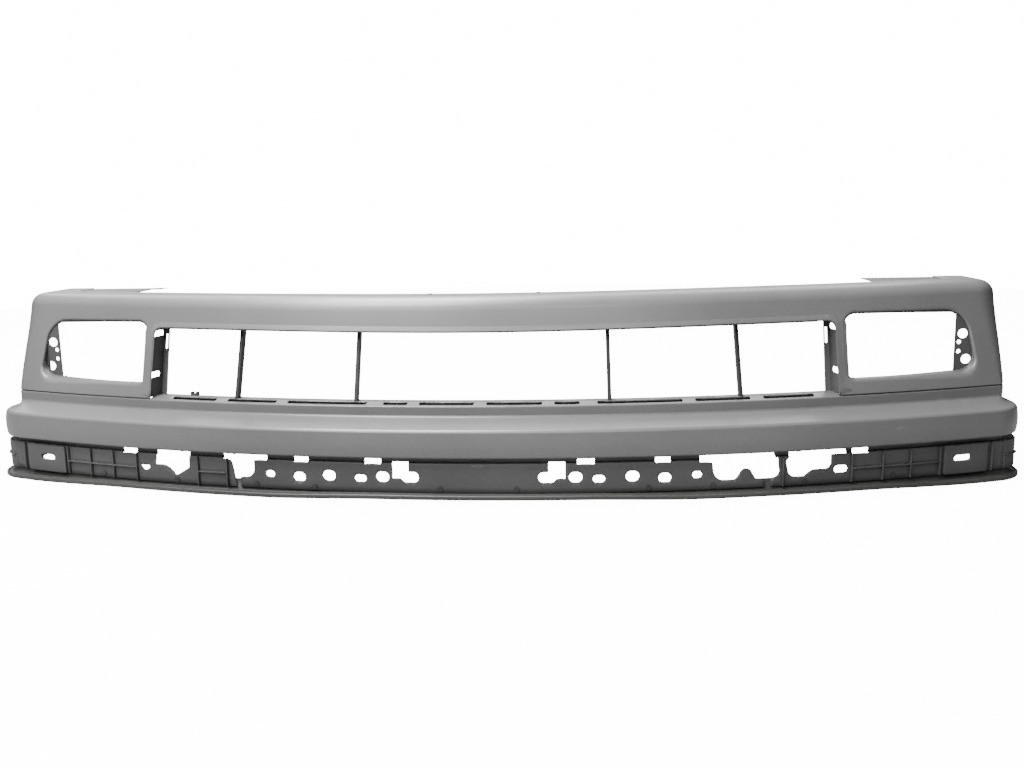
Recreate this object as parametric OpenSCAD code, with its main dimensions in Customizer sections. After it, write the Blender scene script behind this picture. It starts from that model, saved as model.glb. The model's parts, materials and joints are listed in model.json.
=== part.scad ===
// Front bumper cover for a light truck or van: an upper fascia with two lamp
// openings and a slim grille opening, a bumper bar below it, perforated lower
// carriers, a flexible lip, and the rails and brackets that hold it together.
// Frame: X to the right seen from the front, front faces -Y, Z up.
// Origin: middle of the bounding box in X and Y, lowest edge of the lip at Z = 0.

/* [Overall] */
// Width across the ends of the bumper bar
bumper_w = 1768; // [1740:4:1800]
// Depth from the lip's front edge to the rear edge of the side retainers
bumper_d = 410; // [400:5:440]
// Plan radius of the bow at the seam between bar and fascia
bow_r = 2325; // [2250:25:2450]
// Height of the seam between bar and fascia
seam_z = 145; // [144:1:147]
// Height of the top panel
top_z = 314; // [312:1:320]
// Wall thickness of the mouldings
wall = 3; // [2.5:0.5:3]

/* [Upper fascia] */
// How far the face leans back for each millimetre of height
face_lean = 0.294; // [0.27:0.002:0.31]
// Radius of the shoulder between face and top panel
shoulder_r = 28; // [24:1:30]
// Distance of the top panel's rear edge behind the seam line
top_reach = 118; // [112:1:125]
// Half width across the fascia's side walls
fascia_half_w = 864; // [862:1:866]
// Plan radius of the corner at the seam
corner_low_r = 20; // [16:1:26]
// Plan radius of the corner at the shoulder
corner_high_r = 62; // [55:1:70]

/* [Grille opening] */
// Half width of the grille opening
grille_half_w = 576; // [570:1:578]
// Height of the upper band's lower edge at the middle
band_mid_z = 262.5; // [260:0.5:264]
// Rise of that edge towards the pillars
band_rise = 4.5; // [0:0.5:6]
// Distance of the inner struts from the middle
strut_inner_x = 205; // [180:5:230]
// Distance of the outer struts from the middle
strut_outer_x = 414; // [390:2:430]
// Width of a strut
strut_w = 5.5; // [4:0.5:8]
// Depth of a strut
strut_d = 11; // [8:1:12]

/* [Lamp openings] */
// Inner edge of the lamp opening
lamp_in_x = 585; // [583:1:590]
// Outer edge at the foot of the lamp opening
lamp_out_x = 813; // [800:1:816]
// Height of the lamp opening's lower edge
lamp_low_z = 169.5; // [168:0.5:172]
// Height of the lamp opening's upper edge
lamp_high_z = 272; // [268:0.5:274]
// Radius of the opening's upper outer corner
lamp_big_r = 46; // [36:1:48]
// Distance of the lamp frame's rear face behind the seam line's middle
lamp_frame_back = 178; // [170:1:185]

/* [Bumper bar] */
// How far the bar's face stands in front of the seam line
bar_out = 51; // [48:1:54]
// Plan radius of the bar's corners
bar_corner_r = 80; // [76:1:90]
// Height of the face's lower edge
bar_low_z = 71; // [70:0.5:72]
// Height of the shelf's front edge
bar_high_z = 116; // [114:1:118]
// Height where the shelf meets the step
shelf_rear_z = 128; // [126:1:130]
// Depth of the slotted ledge behind the seam line
ledge_depth = 41; // [40:1:44]

/* [Carriers and lip] */
// How far the carriers' face stands in front of the seam line
carrier_out = 38; // [36:1:40]
// Half width across the carriers
carrier_half_w = 881; // [880:1:882]
// Lower edge of the carriers
carrier_low_z = 14; // [13:1:15]
// Height of the carriers' small shelf
carrier_shelf_z = 61.5; // [60:0.5:62]
// How far the lip's front edge stands in front of the seam line
lip_out = 60; // [58:1:64]
// Depth of the ribs on the end carriers
rib_depth = 7; // [4:1:8]
// Thickness of the ribs on the end carriers
rib_w = 2.2; // [1.6:0.2:3]

/* [Mounting holes] */
// Diameter of the bolt holes in the top rail
rail_hole_d = 7; // [5:0.5:9]
// Distance between the two inner top bolts
rail_inner_gap = 300; // [240:10:340]
// Distance between the two outer top bolts
rail_outer_gap = 900; // [860:10:940]
// Diameter of the lamp frame's large holes
lamp_big_hole_d = 16; // [12:1:17]
// Diameter of the lamp frame's small holes
lamp_small_hole_d = 7; // [5:0.5:8]
// Diameter of the bolt hole in a side retainer's ear
side_hole_d = 7; // [5:0.5:9]

/* [Hidden] */

fascia_grey = [0.55, 0.55, 0.56];
bar_grey = [0.60, 0.60, 0.61];
charcoal = [0.24, 0.24, 0.25];
steel = [0.70, 0.71, 0.73];

// Places along Y
front_y = -bumper_d / 2;
back_y = bumper_d / 2;
seam_y = front_y + lip_out;
bow_cy = seam_y + bow_r;
side_back_y = back_y - 15;

// Gap kept between a curved moulding and the parts behind it
fit_gap = 0.6;
arc_fn = 720;

// ---- small helpers -------------------------------------------------------

function unit(v) = v / norm(v);
function right_normal(v) = unit([v[1], -v[0]]);
function smooth(t) = t * t * (3 - 2 * t);

// Polyline moved sideways by t, with mitred corners
function inset(pts, t) = [
    for (i = [0:len(pts) - 1])
        let (
            last = len(pts) - 1,
            before = i == 0 ? right_normal(pts[1] - pts[0]) : right_normal(pts[i] - pts[i - 1]),
            after = i == last ? before : right_normal(pts[i + 1] - pts[i]),
            mitre = unit(before + after)
        )
        pts[i] + mitre * t / (mitre * before)
];

function reversed(list) = [for (i = [len(list) - 1:-1:0]) list[i]];

// Points of a circle of radius r fitted into the corner a-b-c
function rounded_corner(a, b, c, r) =
    let (
        u = unit(a - b),
        v = unit(c - b),
        half = acos(max(-1, min(1, u * v))) / 2,
        centre = b + unit(u + v) * r / sin(half),
        first = b + u * r / tan(half),
        last = b + v * r / tan(half),
        a0 = atan2(first[1] - centre[1], first[0] - centre[0]),
        turn = atan2(last[1] - centre[1], last[0] - centre[0]) - a0,
        sweep = turn > 180 ? turn - 360 : turn < -180 ? turn + 360 : turn,
        steps = max(2, ceil(abs(sweep) / 15))
    )
    [for (i = [0:steps]) centre + r * [cos(a0 + sweep * i / steps), sin(a0 + sweep * i / steps)]];

// Outline whose corners are [x, z, radius]; radius 0 keeps the corner sharp
function rounded(corners) = [
    for (i = [0:len(corners) - 1])
        let (
            n = len(corners),
            a = corners[(i + n - 1) % n],
            b = corners[i],
            c = corners[(i + 1) % n]
        )
        each b[2] == 0
            ? [[b[0], b[1]]]
            : rounded_corner([a[0], a[1]], [b[0], b[1]], [c[0], c[1]], b[2])
];

// A strip of thickness t on the inner side of a polyline
module strip(pts, t) {
    polygon(concat(pts, reversed(inset(pts, t))));
}

// Slot with round ends, drawn about its middle
module stadium(w, h) {
    r = min(w, h) / 2;
    square([w > h ? w - h : w, w > h ? h : h - w], center = true);
    for (s = [-1, 1]) {
        translate(w > h ? [s * (w / 2 - r), 0] : [0, s * (h / 2 - r)]) circle(r, $fn = 48);
    }
}

// Cuts or stands an X-Z outline along Y between two places
module along_y(y0, y1) {
    translate([0, y1, 0]) rotate([90, 0, 0]) linear_extrude(y1 - y0) children();
}

// Children appear on the left, on the right as their mirror image
module on_side(side) {
    if (side > 0) children();
    if (side < 0) mirror([1, 0, 0]) children();
}

// Places children on the bow at a given X; their -Y then points straight out
module on_bow(x, out, z) {
    turn = asin(x / (bow_r + out));
    translate([0, bow_cy, 0]) rotate([0, 0, turn]) translate([0, -(bow_r + out), z]) children();
}

// ---- sweeping a section round the bumper -----------------------------------
// A section is drawn as [outward, z] from the line that it follows.

// Angle of the bow where a corner of plan radius r begins, and its centre's Y
function turn_angle(out, half_w, r) = asin((half_w - r) / (bow_r + out - r));
function turn_y(out, half_w, r) = bow_cy - (bow_r + out - r) * cos(turn_angle(out, half_w, r));

// Section swept along the bow between two angles, measured from the middle
module sweep_arc(out, a0, a1) {
    translate([0, bow_cy, 0])
        rotate_extrude(angle = a1 - a0, start = 270 + a0, $fn = arc_fn)
            translate([bow_r + out, 0]) children();
}

// Section swept along the bow from one X to another
function bow_angle(x, out) = asin(x / (bow_r + out));
module sweep_bow(out, x0, x1) {
    sweep_arc(out, bow_angle(x0, out), bow_angle(x1, out)) children();
}

// Section swept round the right-hand corner and back along the side
module sweep_end(out, half_w, r) {
    turn = turn_angle(out, half_w, r);
    y = turn_y(out, half_w, r);
    translate([half_w - r, y, 0])
        rotate_extrude(angle = 90 - turn, start = 270 + turn, $fn = arc_fn / 3)
            translate([r, 0]) children();
    translate([half_w, side_back_y, 0])
        rotate([90, 0, 0]) linear_extrude(side_back_y - y) children();
}

// ---- upper fascia ----------------------------------------------------------

shoulder_lean = atan(face_lean);
shoulder_z = top_z - shoulder_r;
shoulder_low_z = shoulder_z + shoulder_r * sin(shoulder_lean);
function face_out(z) = -(z - seam_z) * face_lean;
shoulder_out = face_out(shoulder_low_z) - shoulder_r * cos(shoulder_lean);

// Lower edge of the upper band at a given X
function band_z(x) = band_mid_z + band_rise * smooth(min(1, abs(x) / grille_half_w));

// Lines of the fascia's outer surface, as [out, z, half width, corner radius]
face_steps = 4;
shoulder_steps = 6;
top_corner_r = 30;
top_inset = 74;
fascia_lines = concat(
    [for (i = [0:face_steps])
        let (t = i / face_steps, z = seam_z + t * (shoulder_low_z - seam_z))
        [face_out(z), z, fascia_half_w, corner_low_r + (corner_high_r - corner_low_r) * smooth(t)]],
    [for (i = [1:shoulder_steps])
        let (
            t = i / shoulder_steps,
            a = shoulder_lean + t * (90 - shoulder_lean),
            back = shoulder_r * (cos(shoulder_lean) - cos(a))
        )
        [shoulder_out + shoulder_r * cos(a), shoulder_z + shoulder_r * sin(a),
         fascia_half_w - back, corner_high_r + (top_corner_r - corner_high_r) * t]],
    [[-top_reach, top_z, fascia_half_w - top_inset, 6]]
);

// The lap that drops behind the bar's neck
lap_depth = 12;
lap_out = -wall - fit_gap;

// The matching inner line: the section's inset also narrows the plan
function inner_lines(lines, t) =
    let (
        flat = [for (l = lines) [l[0], l[1]]],
        moved = inset(flat, t)
    )
    [for (i = [0:len(lines) - 1])
        let (shift = moved[i] - flat[i])
        [moved[i][0], moved[i][1], lines[i][2] + shift[0], max(2, lines[i][3] + shift[0])]];

// Lines of the lap's outer and inner side
function lap_line(out, z) = [out, z, fascia_half_w + out, corner_low_r + out];
lap_outer = [lap_line(lap_out, seam_z - lap_depth), lap_line(lap_out, seam_z)];
lap_inner = [
    lap_line(lap_out - wall, seam_z - lap_depth), lap_line(lap_out - wall, seam_z),
    lap_line(lap_out - wall, seam_z + 2)
];

// Plan point of a line at station u: 0 middle, 1 start of corner, 2 end of it, 3 rear
function plan_point(line, u) =
    let (
        out = line[0],
        half_w = line[2],
        r = line[3],
        turn = turn_angle(out, half_w, r),
        y = turn_y(out, half_w, r),
        s = abs(u),
        side = u < 0 ? -1 : 1,
        a = s <= 1 ? turn * s : turn + (90 - turn) * (s - 1)
    )
    s <= 1 ? [side * (bow_r + out) * sin(a), bow_cy - (bow_r + out) * cos(a), line[1]]
    : s <= 2 ? [side * (half_w - r + r * sin(a)), y - r * cos(a), line[1]]
    : [side * half_w, y + (side_back_y - y) * (s - 2), line[1]];

bow_steps = 14;
corner_steps = 8;
half_stations = concat(
    [for (i = [1:bow_steps]) i / bow_steps],
    [for (i = [1:corner_steps]) 1 + i / corner_steps],
    [3]
);
stations = concat([for (s = reversed(half_stations)) -s], [0], half_stations);

// Closed skin between matching outer and inner lines, capped at both rear ends
module skin(outer, inner) {
    lines = concat(outer, reversed(inner));
    n = len(lines);
    last = (len(stations) - 1) * n;
    points = [for (u = stations) for (line = lines) plan_point(line, u)];
    sides = [for (i = [0:len(stations) - 2]) for (j = [0:n - 1])
        let (a = i * n + j, b = i * n + (j + 1) % n, c = a + n, d = b + n)
        each [[a, b, c], [b, d, c]]];
    caps = [for (j = [0:len(outer) - 2])
        let (a = j, b = j + 1, c = n - 2 - j, d = n - 1 - j)
        each [[a, c, b], [a, d, c], [last + a, last + b, last + c], [last + a, last + c, last + d]]];
    polyhedron(points = points, faces = concat(sides, caps), convexity = 8);
}

// Outlines of the openings, seen from the front
grille_corner_r = 18;
band_points = 12;
function band_line(x0, x1) = [
    for (i = [0:band_points]) let (x = x0 + (x1 - x0) * i / band_points) [x, band_z(x)]
];

module grille_outline() {
    edge = grille_half_w - grille_corner_r;
    foot = grille_half_w;
    polygon(concat(
        [[-foot, seam_z - lap_depth - 1], [foot, seam_z - lap_depth - 1]],
        rounded_corner([foot, seam_z], [foot - 4, band_z(foot)], [edge, band_z(edge)], grille_corner_r),
        band_line(edge - 4, 4 - edge),
        rounded_corner([-edge, band_z(edge)], [4 - foot, band_z(foot)], [-foot, seam_z], grille_corner_r)
    ));
}

// Radii of the lamp opening's other corners: lower inner, lower outer, upper inner
lamp_corner_r = [16, 22, 18];
lamp_corners = [
    [lamp_in_x, lamp_low_z, lamp_corner_r[0]],
    [lamp_out_x, lamp_low_z, lamp_corner_r[1]],
    [lamp_out_x - 16, lamp_high_z - 3, lamp_big_r],
    [lamp_in_x, lamp_high_z, lamp_corner_r[2]]
];

module lamp_outline() {
    polygon(rounded(lamp_corners));
}

module upper_fascia() {
    moved = inner_lines(fascia_lines, -wall);
    inner = [for (i = [1:len(moved) - 1]) moved[i]];
    color(fascia_grey) difference() {
        skin(concat(lap_outer, fascia_lines), concat(lap_inner, inner));
        along_y(front_y, back_y) grille_outline();
        for (side = [-1, 1]) {
            on_side(side) along_y(front_y, back_y) lamp_outline();
        }
        top_rivet_places() rivet_hole();
        for (side = [-1, 1]) {
            on_side(side) side_cutback();
        }
    }
}

// Below the shoulder the side stops short of the corner flange's rear edge
side_cut_y = 130;
side_cut_z = 250;
module side_cutback() {
    low = seam_z - 30;
    rear = side_back_y + 10;
    translate([fascia_half_w - 2 * wall - fit_gap, 0, 0]) rotate([90, 0, 90]) linear_extrude(4 * wall)
        polygon([[side_cut_y, low], [rear, low], [rear, side_cut_z + 32], [side_cut_y, side_cut_z]]);
}

// The space behind the fascia's inner face, used to trim parts that meet it
module behind_fascia() {
    gap = (wall + fit_gap) / cos(shoulder_lean);
    low = seam_z - 20;
    high = top_z;
    translate([0, bow_cy, 0])
        rotate_extrude(angle = 60, start = 240, $fn = arc_fn)
            polygon([
                [bow_r - 400, low], [bow_r + face_out(low) - gap, low],
                [bow_r + face_out(high) - gap, high], [bow_r - 400, high]
            ]);
}

// ---- bumper bar ------------------------------------------------------------

return_depth = 27;
ledge_rise = 3;
ledge_drop = 14;
ledge_front_z = seam_z;
slot_front = 9;
slot_rear = 22;
// Pairs of slot ends along the ledge, from the middle outwards
ledge_slots = [[10, 99], [118, 158], [186, 321], [341, 429], [450, 533]];
// Half width of the ledge, up to the pillars' feet
ledge_half_w = 574;

// The bar's section as [distance in front of its face, z], return first, shelf last
bar_profile = [
    [-return_depth, bar_low_z], [-4, bar_low_z], [-1.2, bar_low_z + 1.2], [0, bar_low_z + 4],
    [0, bar_high_z - 9], [-1, bar_high_z - 5], [-3, bar_high_z - 2], [-7, bar_high_z]
];

// Lines of the bar's outer surface: its face, then the shelf's rear edge and the neck above it
bar_lines = concat(
    [for (p = bar_profile) [bar_out + p[0], p[1], bumper_w / 2 + p[0], bar_corner_r + p[0]]],
    [for (z = [shelf_rear_z, seam_z]) [0, z, fascia_half_w, corner_low_r]]
);

// The ledge turns down along its rear edge
module ledge_section() {
    top = ledge_front_z + ledge_rise;
    strip([[-ledge_depth, top - ledge_drop], [-ledge_depth, top], [-24, top],
        [-4, ledge_front_z], [-wall / 2, ledge_front_z]], wall);
}

module bumper_bar() {
    color(bar_grey) difference() {
        union() {
            skin(bar_lines, inner_lines(bar_lines, -wall));
            sweep_bow(0, -ledge_half_w, ledge_half_w) ledge_section();
        }
        for (pair = ledge_slots) {
            for (side = [-1, 1]) {
                on_side(side) sweep_bow(0, pair[0], pair[1])
                    translate([-slot_rear, seam_z - 10]) square([slot_rear - slot_front, 20]);
            }
        }
        carrier_rivet_places() rivet_hole();
    }
}

// ---- carriers --------------------------------------------------------------

carrier_wall = 3;
carrier_r = bar_corner_r - 30;
carrier_step = 5;
carrier_flange = 14;
split_left_x = -397;
split_right_x = 450.5;
split_gap = 1;
rib_z = 36;
rib_bite = 1.2;
rib_margin = 1;
corner_rib_angle = 50;
corner_rib_depth = 3;
end_gap_deg = 0.02;

// Outer side of the carriers' section, from the lower edge up to the flange
carrier_profile = [
    [0, carrier_low_z], [0, carrier_shelf_z], [-carrier_step, carrier_shelf_z],
    [-carrier_step, bar_low_z], [-carrier_flange, bar_low_z]
];
carrier_turn = turn_angle(carrier_out, carrier_half_w, carrier_r);

// Windows through the upper wall, as [middle X, width]
window_low_z = 59.5;
window_high_z = 67.5;
windows = [[0, 23], [168, 27], [287, 24], [600, 27]];

// Holes on both halves of the middle, as [X, Z, width, height]
strip_holes = [
    [152, 39, 21, 17], [188, 36, 19, 12], [240, 39, 21, 17], [290, 35, 20, 16.5], [340, 38.5, 15, 11]
];
end_hole = [773, 40, 31, 12];

// Cut-outs, as corners [x, z, radius]
cut_top_z = 67.5;
notch_left = [
    [-424, cut_top_z, 0], [-422, 60, 0], [-408, 59, 3], [-401, 16, 0], [-401, 10, 0], [-394, 10, 0],
    [-393, 31, 2], [-368, 31, 16], [-368, 60, 2], [-346, 60, 0], [-346, cut_top_z, 0]
];
cut_left = [
    [-548, cut_top_z, 0], [-549, 44, 2], [-528, 43, 3], [-511, 27, 2], [-486, 42, 3], [-485, cut_top_z, 0]
];
cut_right = [
    [344, cut_top_z, 0], [344, 58, 2], [364, 57, 3], [367, 28, 18], [400, 27, 12], [412, 46, 4],
    [423, 44, 3], [432, 28, 8], [445, 25, 0], [445, 10, 0], [456, 10, 0], [456, 26, 0],
    [470, 33, 10], [467, 60, 6], [461, cut_top_z, 0]
];
lobe_right = [
    [485, cut_top_z, 0], [485, 60, 2], [480, 54, 2], [485, 29, 12], [508, 27, 10], [521, 38, 6],
    [552, 38, 10], [553, 61, 0], [577, 61, 2], [577, cut_top_z, 0]
];
small_left = [[-578, 41, 1], [-572, 31, 5], [-562, 36, 2], [-562, 41, 1]];

module carrier_band(a0, a1) {
    sweep_arc(carrier_out, a0, a1) strip(carrier_profile, -carrier_wall);
}

module strip_cuts() {
    for (side = [-1, 1]) {
        for (w = windows) {
            translate([side * w[0], (window_low_z + window_high_z) / 2])
                square([w[1], window_high_z - window_low_z], center = true);
        }
        for (h = strip_holes) {
            translate([side * h[0], h[1]]) stadium(h[2], h[3]);
        }
        translate([side * end_hole[0], end_hole[1]]) stadium(end_hole[2], end_hole[3]);
        translate([side * 123, 50]) square([26, 26], center = true);
        translate([side * 105, 39]) stadium(26, 17);
    }
    for (outline = [notch_left, cut_left, cut_right, lobe_right, small_left]) {
        polygon(rounded(outline));
    }
    translate([568, 36.5]) stadium(22, 12);
}

// Upright rib that stands on the carrier's face, a little short of its edges
module rib(x) {
    low = carrier_low_z + rib_margin;
    high = carrier_shelf_z - rib_margin;
    on_bow(x, carrier_out, 0)
        translate([-rib_w / 2, -rib_depth, low]) cube([rib_w, rib_depth + rib_bite, high - low]);
}

// Ribbed panel between two X positions, with uprights and one level rib
module rib_panel(xs) {
    for (x = xs) {
        rib(x);
    }
    sweep_bow(carrier_out, xs[0], xs[len(xs) - 1])
        translate([-rib_bite, rib_z]) square([rib_depth + rib_bite, rib_w]);
}

// Wrap-round end of the carriers: corner, side and the level rib round the corner
module carrier_end() {
    color(charcoal) difference() {
        union() {
            sweep_end(carrier_out, carrier_half_w, carrier_r) strip(carrier_profile, -carrier_wall);
            translate([
                carrier_half_w - carrier_r, turn_y(carrier_out, carrier_half_w, carrier_r), 0
            ])
                rotate_extrude(angle = corner_rib_angle, start = 270 + carrier_turn, $fn = arc_fn / 3)
                    translate([carrier_r - rib_bite, rib_z])
                        square([corner_rib_depth + rib_bite, rib_w]);
        }
        lip_rivet_places() bow_rivet_hole();
    }
}

module carrier_end_left() { on_side(-1) carrier_end(); }
module carrier_end_right() { on_side(1) carrier_end(); }

module carrier_center() {
    color(charcoal) difference() {
        carrier_band(
            bow_angle(split_left_x + split_gap, carrier_out),
            bow_angle(split_right_x - split_gap, carrier_out)
        );
        along_y(front_y, back_y) strip_cuts();
        carrier_rivet_places() rivet_hole();
        lip_rivet_places() bow_rivet_hole();
    }
}

module carrier_left() {
    color(charcoal) difference() {
        union() {
            carrier_band(end_gap_deg - carrier_turn, bow_angle(split_left_x - split_gap, carrier_out));
            on_side(-1) rib_panel([585, 632, 679, 727]);
            on_side(-1) rib_panel([415, 468]);
            on_side(-1) rib(825);
        }
        along_y(front_y, back_y) strip_cuts();
        carrier_rivet_places() rivet_hole();
        lip_rivet_places() bow_rivet_hole();
    }
}

module carrier_right() {
    color(charcoal) difference() {
        union() {
            carrier_band(bow_angle(split_right_x + split_gap, carrier_out), carrier_turn - end_gap_deg);
            rib_panel([585, 636, 683, 733]);
            rib(474);
            rib(825);
        }
        along_y(front_y, back_y) strip_cuts();
        carrier_rivet_places() rivet_hole();
        lip_rivet_places() bow_rivet_hole();
    }
}

// ---- lip -------------------------------------------------------------------

lip_wall = 3;
lip_floor_z = 4;
lip_corner_r = bar_corner_r - 10;
lip_flange_z = 26;
bead_w = 5;
bead_z = 9;

// Lines of the lip: the flange behind the carriers, then the floor and the bead at its edge
function flange_line(in, z) = [
    carrier_out - carrier_wall - in, z, carrier_half_w - carrier_wall - in, carrier_r - carrier_wall - in
];
function bead_line(in, z) = [lip_out - in, z, bumper_w / 2 - in, lip_corner_r - in];
lip_lower = [
    flange_line(lip_wall, lip_flange_z), flange_line(lip_wall, lip_floor_z),
    bead_line(bead_w, lip_floor_z), bead_line(bead_w - 0.6, 0), bead_line(1, 0), bead_line(0, 1.5)
];
lip_upper = [
    flange_line(0, lip_flange_z), flange_line(0, lip_floor_z + lip_wall),
    bead_line(bead_w, lip_floor_z + lip_wall), bead_line(bead_w - 0.6, bead_z),
    bead_line(1, bead_z), bead_line(0, bead_z - 1.5)
];

module valance_lip() {
    color(charcoal) difference() {
        skin(lip_lower, lip_upper);
        lip_rivet_places() bow_rivet_hole();
    }
}

// ---- grille struts and header rail -----------------------------------------

strut_back = 33;
rail_drop = 4.5;
rail_t = 2.5;

// Upright that stands on the ledge, leans back with the face and reaches the header rail
module strut(x) {
    foot_z = ledge_front_z + ledge_rise;
    head_z = band_z(x) - rail_drop;
    high = head_z - foot_z;
    color(charcoal) on_bow(x, -strut_back, 0) intersection() {
        translate([-strut_w / 2, 0, foot_z]) rotate([-shoulder_lean, 0, 0])
            translate([0, -strut_d, -high / 2]) cube([strut_w, strut_d, 2 * high]);
        translate([-strut_d, -high, foot_z]) cube([2 * strut_d, 2 * high, high]);
    }
}

module grille_strut_1() { strut(-strut_outer_x); }
module grille_strut_2() { strut(-strut_inner_x); }
module grille_strut_3() { strut(strut_inner_x); }
module grille_strut_4() { strut(strut_outer_x); }

// Angle strip behind the upper band, following its lower edge
header_half_w = 546;
header_steps = 24;
rail_depth = 35;
rail_high = 26;
rail_front_out = -31;

module header_rail() {
    front = rail_front_out;
    rear = front - rail_depth;
    section = [
        [front, 0], [rear, 0], [rear, rail_high],
        [rear + rail_t, rail_high], [rear + rail_t, rail_t], [front, rail_t]
    ];
    n = len(section);
    points = [
        for (i = [0:header_steps])
            let (x = header_half_w * (2 * i / header_steps - 1), a = asin(x / bow_r))
            for (p = section)
                [(bow_r + p[0]) * sin(a), bow_cy - (bow_r + p[0]) * cos(a), band_z(x) - rail_drop + p[1]]
    ];
    sides = [for (i = [0:header_steps - 1]) for (j = [0:n - 1])
        let (a = i * n + j, b = i * n + (j + 1) % n, c = a + n, d = b + n)
        each [[a, c, b], [b, c, d]]];
    caps = [[for (j = [0:n - 1]) j], [for (j = [n - 1:-1:0]) header_steps * n + j]];
    color(charcoal) polyhedron(points = points, faces = concat(sides, caps), convexity = 4);
}

// ---- top rail --------------------------------------------------------------

rail_half_w = 560;
rail_front = -86;
rail_rear = -140;
rail_top_z = top_z - wall;
rail_leg = 22;
rail_hole_out = -131;

// Bolt places of the top rail, as [X, Y]
function rail_bolt(x) = [x, bow_cy - sqrt((bow_r + rail_hole_out) * (bow_r + rail_hole_out) - x * x)];

module top_rail() {
    color(charcoal) difference() {
        sweep_bow(0, -rail_half_w, rail_half_w) union() {
            translate([rail_rear, rail_top_z - rail_t]) square([rail_front - rail_rear, rail_t]);
            translate([rail_front - rail_t, rail_top_z - rail_leg]) square([rail_t, rail_leg]);
        }
        for (gap = [rail_inner_gap, rail_outer_gap]) {
            for (side = [-1, 1]) {
                place = rail_bolt(side * gap / 2);
                translate([place[0], place[1], rail_top_z - 10]) cylinder(h = 20, d = rail_hole_d, $fn = 48);
            }
        }
        top_rivet_places() rivet_hole();
    }
}

// ---- lamp frames -----------------------------------------------------------

lamp_wall = 2.5;
lamp_plate_x = 781;
lamp_top_drop = 5;
lamp_floor_drop = 14;
lamp_face_y = seam_y + lamp_frame_back;
lamp_pin_mid_z = 209;
lamp_pin_gap = 16;
// Holes of the outer plate, as [X, Z, diameter]
lamp_holes = [
    [793.5, 231, lamp_big_hole_d], [788, lamp_pin_mid_z + lamp_pin_gap / 2, lamp_small_hole_d],
    [788, lamp_pin_mid_z - lamp_pin_gap / 2, lamp_small_hole_d], [800.5, 188, lamp_big_hole_d]
];

// The frame follows the opening, but its floor lies lower and its inner side is open
module lamp_room() {
    hull() {
        lamp_outline();
        translate([0, -lamp_floor_drop]) lamp_outline();
    }
}

module lamp_frame() {
    color(charcoal) difference() {
        intersection() {
            union() {
                along_y(seam_y, lamp_face_y) difference() {
                    offset(delta = lamp_wall) lamp_room();
                    lamp_room();
                }
                along_y(lamp_face_y - lamp_wall, lamp_face_y) intersection() {
                    offset(delta = lamp_wall) lamp_room();
                    union() {
                        translate([lamp_plate_x, 0]) square([100, top_z]);
                        translate([0, lamp_high_z - lamp_top_drop]) square([bumper_w / 2, 30]);
                    }
                }
            }
            behind_fascia();
            translate([lamp_in_x + lamp_wall, front_y, 0]) cube([bumper_w, bumper_d, top_z]);
        }
        for (hole = lamp_holes) {
            translate([hole[0], lamp_face_y + 1, hole[1]])
                rotate([90, 0, 0]) cylinder(h = lamp_wall + 2, d = hole[2], $fn = 48);
        }
    }
}

module lamp_frame_left() { on_side(-1) lamp_frame(); }
module lamp_frame_right() { on_side(1) lamp_frame(); }

// ---- grille brackets -------------------------------------------------------

bracket_t = 2.5;
bracket_front_x = 576.5;
bracket_rear_x = 565;
bracket_inner_x = 557;
bracket_back = 109;
bracket_low_z = seam_z + ledge_rise;
bracket_high_z = 262;
// Slots of the side wall, as [Y, Z]
bracket_slots = [[-50, 184], [-24, 252]];
bracket_hole_x = 561;
bracket_hole_up = 92;

// Angle that leans back with the face: a side wall and a narrow rear flange
module bracket_angle() {
    high = bracket_high_z - bracket_low_z;
    difference() {
        translate([0, 0, -high / 2]) linear_extrude(2 * high) union() {
            polygon([
                [bracket_front_x, 60 - bracket_back], [bracket_front_x + bracket_t, 60 - bracket_back],
                [bracket_rear_x + bracket_t, 0], [bracket_rear_x, 0]
            ]);
            translate([bracket_inner_x, -bracket_t])
                square([bracket_rear_x + bracket_t - bracket_inner_x, bracket_t]);
        }
        translate([bracket_hole_x, 1, bracket_hole_up])
            rotate([90, 0, 0]) linear_extrude(bracket_t + 2) stadium(4, 27);
    }
}

module grille_bracket() {
    color(charcoal) difference() {
        intersection() {
            translate([0, seam_y + bracket_back, bracket_low_z])
                rotate([-shoulder_lean, 0, 0]) bracket_angle();
            translate([bracket_inner_x - 10, front_y, bracket_low_z])
                cube([60, bumper_d, bracket_high_z - bracket_low_z]);
            behind_fascia();
        }
        for (slot = bracket_slots) {
            translate([bracket_front_x - 30, slot[0], slot[1]])
                rotate([90, 0, 90]) linear_extrude(50) stadium(33, 10);
        }
    }
}

module grille_bracket_left() { on_side(-1) grille_bracket(); }
module grille_bracket_right() { on_side(1) grille_bracket(); }

// ---- corner flanges --------------------------------------------------------

flange_t = 2.5;
flange_in_x = 665;
flange_out_x = 832;
flange_top_z = top_z - wall;
tab_w = 26;
tab_d = 14;

// Plate under the top panel that carries it back over the corner
module corner_flange(with_tab) {
    color(fascia_grey) translate([0, 0, flange_top_z - flange_t]) difference() {
        linear_extrude(flange_t) difference() {
            union() {
                intersection() {
                    translate([0, bow_cy]) circle(bow_r - 96, $fn = arc_fn);
                    polygon([
                        [flange_in_x, front_y], [flange_out_x, front_y],
                        [flange_out_x, side_back_y], [flange_in_x, side_back_y]
                    ]);
                }
                if (with_tab) {
                    translate([flange_in_x - tab_w, side_back_y - tab_d]) square([tab_w, tab_d]);
                }
            }
            if (with_tab) {
                translate([flange_in_x - tab_w / 2, side_back_y - tab_d / 2]) circle(d = 5, $fn = 32);
            }
        }
        translate([0, 0, -flange_top_z + flange_t]) top_rivet_places() rivet_hole();
    }
}

module corner_flange_left() { on_side(-1) corner_flange(true); }
module corner_flange_right() { on_side(1) corner_flange(false); }

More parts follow.
